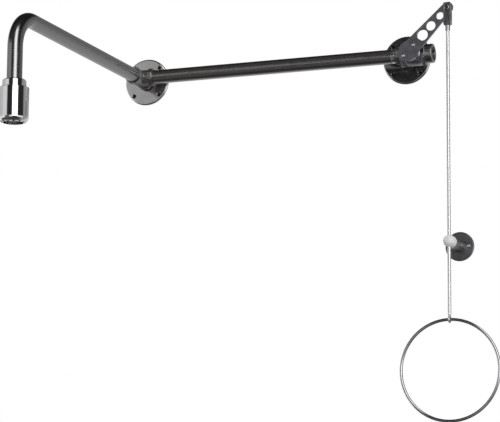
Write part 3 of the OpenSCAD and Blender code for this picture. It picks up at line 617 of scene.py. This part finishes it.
# Turned pin: bright, with rings round it
pin_turned = steel("turned_stainless_pin", "#d4d4d6", 0.13, 0.04, 0.5, 0.5, 0.002, "round y", (pin_x, 0, pin_z))
pin_r, pin_point, clip_groove_r, clip_from, clip_to = 4, 0.5, 3.2, 2.5, 3.8
pin_head_r, pin_head, pin_head_bevel = 5.5, 2, 0.6
piece = shell("fork_pin", turning(soften([
    (0, 0), (pin_r - pin_point, 0), (pin_r, pin_point), (pin_r, clip_from), (clip_groove_r, clip_from),
    (clip_groove_r, clip_to), (pin_r, clip_to), (pin_r, pin_len - pin_head), (pin_head_r, pin_len - pin_head),
    (pin_head_r, pin_len - pin_head_bevel), (pin_head_r - pin_head_bevel, pin_len), (0, pin_len)], 0.25),
    (pin_x, pin_high.y, pin_z), out_of_wall, 64))
place(piece, "pull_rod", pin_turned, "polished_stainless", "clevis_pin")
place(edged_copy("snap_ring", "pin_clip", 0.15), "pull_rod", pin_turned, "brushed_stainless", "pin_clip")


# --- Pull rod, eye and ring ---------------------------------------------------------------------
# A polished rod of 8 mm, a wire eye screwed up into its end, and a ring bent from 7 mm wire and
# welded shut, ground and polished all round.
rod_low, rod_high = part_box("pull_rod")
rod_len = (rod_high.z - rod_low.z) / MM
rod_y = (rod_low.y + rod_high.y) / 2
# Polished rod: bright, and soft enough to blend the room into one pale band
polished_rod = steel("polished_stainless_rod", "#d2d2d4", 0.46, 0.03, 0.8, 90, 0.0004, "z", mottle=0.02)
rod_r, tapped_r, tapped_deep = 4, 2.35, 13
piece = shell("rod_bar", turning(soften([
    (0, tapped_deep), (tapped_r, tapped_deep), (tapped_r, 0), (rod_r, 0), (rod_r, rod_len), (0, rod_len)], 0.3),
    (pin_x, rod_y, rod_low.z), up, 64))
place(piece, "pull_rod", polished_rod, "polished_stainless", "pull_rod")
eye_low, eye_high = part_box("ring_eye")
eye_wire = 4.5
eye_r = (eye_high.y - eye_low.y) / MM / 2 - eye_wire / 2
eye_middle = np.array([pin_x, rod_y, eye_low.z + (eye_r + eye_wire / 2) * MM])
t = np.linspace(0, 2 * np.pi, 96, endpoint=False)
eye_loop = eye_middle + eye_r * MM * np.stack([0 * t, np.cos(t), np.sin(t)], 1)
stud_len = (eye_high.z - eye_middle[2]) / MM
piece = shell("eye_wire", piping(eye_loop, (1, 0, 0), eye_wire / 2),
              turning([(0, eye_r), (eye_wire / 2, eye_r), (eye_wire / 2, stud_len), (0, stud_len)],
                      eye_middle, up, 48))
place(piece, "pull_rod", polished_rod, "polished_stainless", "ring_eye")
ring_low, ring_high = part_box("pull_ring")
ring_wire = (ring_high.y - ring_low.y) / MM
ring_r = (ring_high.x - ring_low.x) / MM / 2 - ring_wire / 2
t = np.linspace(0, 2 * np.pi, 256, endpoint=False)
ring_middle = (np.array(ring_low) + np.array(ring_high)) / 2
ring_loop = ring_middle + ring_r * MM * np.stack([np.cos(t), 0 * t, np.sin(t)], 1)
# Polished wire: a mirror too narrow to show shapes, so it turns from dark to light round the ring
polished_wire = steel("polished_stainless_wire", "#a6a6a8", 0.20, 0.02, 1.2, 1.2, 0.0002, "grain", mottle=0.04)
piece = shell("ring_loop", piping(ring_loop, (0, 1, 0), ring_wire / 2))
place(piece, "pull_ring", polished_wire, "polished_stainless", "pull_ring")


# --- Rod guide ----------------------------------------------------------------------------------
# A dark turned disc on the wall with a welded tube, an acetal plug in the tube's end, and on the
# plug an acetal ball with flat ends that the rod slides through.
plate_low, plate_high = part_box("guide_plate")
guide_x, guide_z = (plate_low.x + plate_high.x) / 2, (plate_low.z + plate_high.z) / 2
# Dark turned disc: an even charcoal grey with a soft sheen
dark_turned = steel("dark_turned_stainless_guide", "#828183", 0.30, 0.04, 0.8, 0.8, 0.002, "round y",
                    (guide_x, 0, guide_z), mottle=0.06)
plate_r, plate_t, plate_bevel = 34, 5, 1.5
piece = shell("guide_disc", turning(soften([
    (0, 0), (plate_r, 0), (plate_r, plate_t - plate_bevel), (plate_r - plate_bevel, plate_t), (0, plate_t)], 0.7),
    (guide_x, plate_high.y, guide_z), out_of_wall, 160))
place(piece, "pipework", dark_turned, "dark_stainless", "guide_plate")
tube_low, tube_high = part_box("guide_arm")
tube_len = (tube_high.y - tube_low.y) / MM
arm_r, arm_bore = 14, 12
piece = shell("guide_tube", turning(soften([
    (arm_bore, 0), (arm_r, 0), (arm_r, tube_len), (arm_bore, tube_len)], 0.4),
    (guide_x, tube_high.y, guide_z), out_of_wall, 96))
# Dark ground tube: a deep grey, with lines along it
dark_ground = steel("dark_ground_stainless_tube", "#6c6b6d", 0.28, 0.04, 0.7, 30, 0.002, "y", mottle=0.06)
place(piece, "pipework", dark_ground, "dark_stainless", "guide_arm")
plug_low, plug_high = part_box("ball_seat")
plug_len = (plug_high.y - plug_low.y) / MM
plug_r, plug_head_r, plug_head = 11.9, 13.5, 2
piece = shell("seat_plug", turning(soften([
    (0, 0), (plug_r, 0), (plug_r, plug_len - plug_head), (plug_head_r, plug_len - plug_head),
    (plug_head_r, plug_len), (0, plug_len)], 0.4), (guide_x, plug_high.y, guide_z), out_of_wall, 96))
place(piece, "pipework", white_plastic, "white_plastic", "ball_seat")
ball_r, ball_half, ball_bore, ball_lead = 13.8, 12.3, 4.08, 0.5
poles = np.linspace(-1, 1, 49) * math.asin(ball_half / ball_r)
round_side = np.stack([ball_r * np.cos(poles), ball_r * np.sin(poles)], 1)
ball_low, ball_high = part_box("guide_ball")
piece = shell("guide_bead", turning(np.vstack([
    [(ball_bore, -ball_half + ball_lead), (ball_bore + ball_lead, -ball_half)], round_side,
    [(ball_bore + ball_lead, ball_half), (ball_bore, ball_half - ball_lead)]]),
    (guide_x, rod_y, (ball_low.z + ball_high.z) / 2), up, 96))
place(piece, "guide_ball", white_plastic, "white_plastic", "guide_ball")
place(edged_copy("guide_bolts", "guide_screws", 0.3), "pipework", bright_screw, "polished_stainless", "guide_screws")
